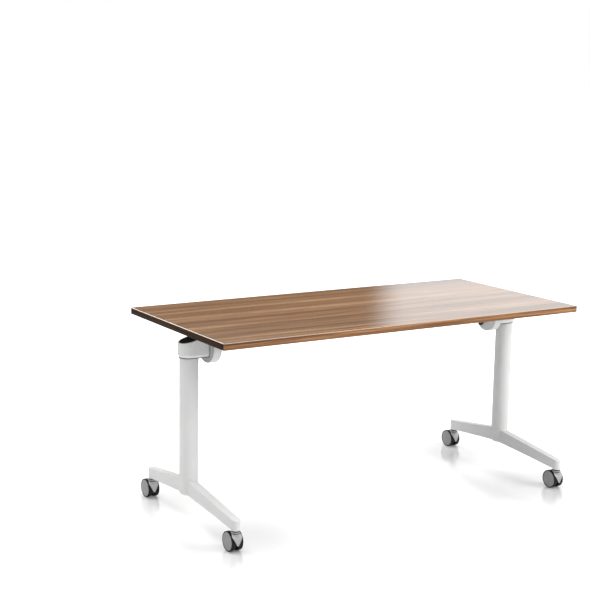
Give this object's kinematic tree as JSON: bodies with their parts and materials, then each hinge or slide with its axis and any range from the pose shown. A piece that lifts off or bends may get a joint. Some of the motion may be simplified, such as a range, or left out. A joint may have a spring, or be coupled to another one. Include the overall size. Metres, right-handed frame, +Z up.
{
  "type": "flip top training table",
  "caption": "Rectangular training table whose wood worktop tips upright on a locking hinge, on white column legs with arched feet and twin-wheel casters.",
  "frame": {"origin": "on the floor under the centre of the worktop", "axes": "+X along the worktop's length, -Y towards the seated user, +Z up"},
  "size_m": [1.6, 0.7625, 0.75],
  "materials": {
    "walnut_laminate": "satin laminate, grain along the length",
    "walnut_edge": "satin edge band, grain along the edge",
    "white_tube": "white powder coat",
    "white_casting": "white powder coat",
    "grey_casting": "light grey powder coat",
    "grey_plastic": "satin moulding",
    "cap_grey": "satin moulding",
    "black_plastic": "fine moulded texture",
    "tread": "satin black",
    "steel": "zinc plated",
    "dark_steel": "black plated"
  },
  "bodies": {
    "frame": {"cross_tube": "white_tube", "left_head": "white_casting", "left_head_cover": "black_plastic", "left_index_disc": "grey_casting", "left_column": "white_tube", "left_column_plug": "steel", "left_foot_bolt": "steel", "left_foot": "white_casting", "front_left_stem": "dark_steel", "rear_left_stem": "dark_steel", "right_head": "white_casting", "right_head_cover": "black_plastic", "right_index_disc": "grey_casting", "right_column": "white_tube", "right_column_plug": "steel", "right_foot_bolt": "steel", "right_foot": "white_casting", "front_right_stem": "dark_steel", "rear_right_stem": "dark_steel"},
    "top": {"worktop_panel": "walnut_laminate", "front_edge_band": "walnut_edge", "right_edge_band": "walnut_edge", "back_edge_band": "walnut_edge", "left_edge_band": "walnut_edge", "left_drum": "grey_casting", "left_bush": "black_plastic", "right_drum": "grey_casting", "right_bush": "black_plastic"},
    "left_lock": {"left_lock_pin": "steel", "left_lock_knob": "black_plastic", "left_lock_spring": "steel"},
    "right_lock": {"right_lock_pin": "steel", "right_lock_knob": "black_plastic", "right_lock_spring": "steel"},
    "front_left_caster": {"front_left_hood": "grey_plastic", "front_left_axle": "steel"},
    "rear_left_caster": {"rear_left_hood": "grey_plastic", "rear_left_axle": "steel"},
    "front_right_caster": {"front_right_hood": "grey_plastic", "front_right_axle": "steel"},
    "rear_right_caster": {"rear_right_hood": "grey_plastic", "rear_right_axle": "steel"},
    "front_left_outer_roller": {"front_left_outer_wheel": "tread", "front_left_outer_cap": "cap_grey"},
    "front_left_inner_roller": {"front_left_inner_wheel": "tread", "front_left_inner_cap": "cap_grey"},
    "rear_left_outer_roller": {"rear_left_outer_wheel": "tread", "rear_left_outer_cap": "cap_grey"},
    "rear_left_inner_roller": {"rear_left_inner_wheel": "tread", "rear_left_inner_cap": "cap_grey"},
    "front_right_outer_roller": {"front_right_outer_wheel": "tread", "front_right_outer_cap": "cap_grey"},
    "front_right_inner_roller": {"front_right_inner_wheel": "tread", "front_right_inner_cap": "cap_grey"},
    "rear_right_outer_roller": {"rear_right_outer_wheel": "tread", "rear_right_outer_cap": "cap_grey"},
    "rear_right_inner_roller": {"rear_right_inner_wheel": "tread", "rear_right_inner_cap": "cap_grey"}
  },
  "joints": [
    {"name": "worktop_flip", "type": "hinge", "parent": "frame", "child": "top", "pos_m": [0, -0.005, 0.662], "axis": [1, 0, 0], "range_deg": [0, 90]},
    {"name": "left_lock_slide", "type": "slide", "parent": "top", "child": "left_lock", "axis": [1, 0, 0], "range_m": [-0.004, 0.006], "stiffness_N_per_m": 400, "springref_m": -0.004, "deforming": ["left_lock_spring"]},
    {"name": "right_lock_slide", "type": "slide", "parent": "top", "child": "right_lock", "axis": [-1, 0, 0], "range_m": [-0.004, 0.006], "stiffness_N_per_m": 400, "springref_m": -0.004, "deforming": ["right_lock_spring"]},
    {"name": "front_left_swivel", "type": "hinge", "parent": "frame", "child": "front_left_caster", "pos_m": [-0.743, -0.367, 0.07], "axis": [0, 0, 1], "continuous": true},
    {"name": "rear_left_swivel", "type": "hinge", "parent": "frame", "child": "rear_left_caster", "pos_m": [-0.743, 0.306, 0.07], "axis": [0, 0, 1], "continuous": true},
    {"name": "front_right_swivel", "type": "hinge", "parent": "frame", "child": "front_right_caster", "pos_m": [0.743, -0.367, 0.07], "axis": [0, 0, 1], "continuous": true},
    {"name": "rear_right_swivel", "type": "hinge", "parent": "frame", "child": "rear_right_caster", "pos_m": [0.743, 0.306, 0.07], "axis": [0, 0, 1], "continuous": true},
    {"name": "front_left_outer_roll", "type": "hinge", "parent": "front_left_caster", "child": "front_left_outer_roller", "pos_m": [-0.743, -0.347, 0.036], "axis": [1, 0, 0], "continuous": true},
    {"name": "front_left_inner_roll", "type": "hinge", "parent": "front_left_caster", "child": "front_left_inner_roller", "pos_m": [-0.743, -0.347, 0.036], "axis": [1, 0, 0], "continuous": true},
    {"name": "rear_left_outer_roll", "type": "hinge", "parent": "rear_left_caster", "child": "rear_left_outer_roller", "pos_m": [-0.743, 0.326, 0.036], "axis": [1, 0, 0], "continuous": true},
    {"name": "rear_left_inner_roll", "type": "hinge", "parent": "rear_left_caster", "child": "rear_left_inner_roller", "pos_m": [-0.743, 0.326, 0.036], "axis": [1, 0, 0], "continuous": true},
    {"name": "front_right_outer_roll", "type": "hinge", "parent": "front_right_caster", "child": "front_right_outer_roller", "pos_m": [0.743, -0.347, 0.036], "axis": [1, 0, 0], "continuous": true},
    {"name": "front_right_inner_roll", "type": "hinge", "parent": "front_right_caster", "child": "front_right_inner_roller", "pos_m": [0.743, -0.347, 0.036], "axis": [1, 0, 0], "continuous": true},
    {"name": "rear_right_outer_roll", "type": "hinge", "parent": "rear_right_caster", "child": "rear_right_outer_roller", "pos_m": [0.743, 0.326, 0.036], "axis": [1, 0, 0], "continuous": true},
    {"name": "rear_right_inner_roll", "type": "hinge", "parent": "rear_right_caster", "child": "rear_right_inner_roller", "pos_m": [0.743, 0.326, 0.036], "axis": [1, 0, 0], "continuous": true}
  ]
}
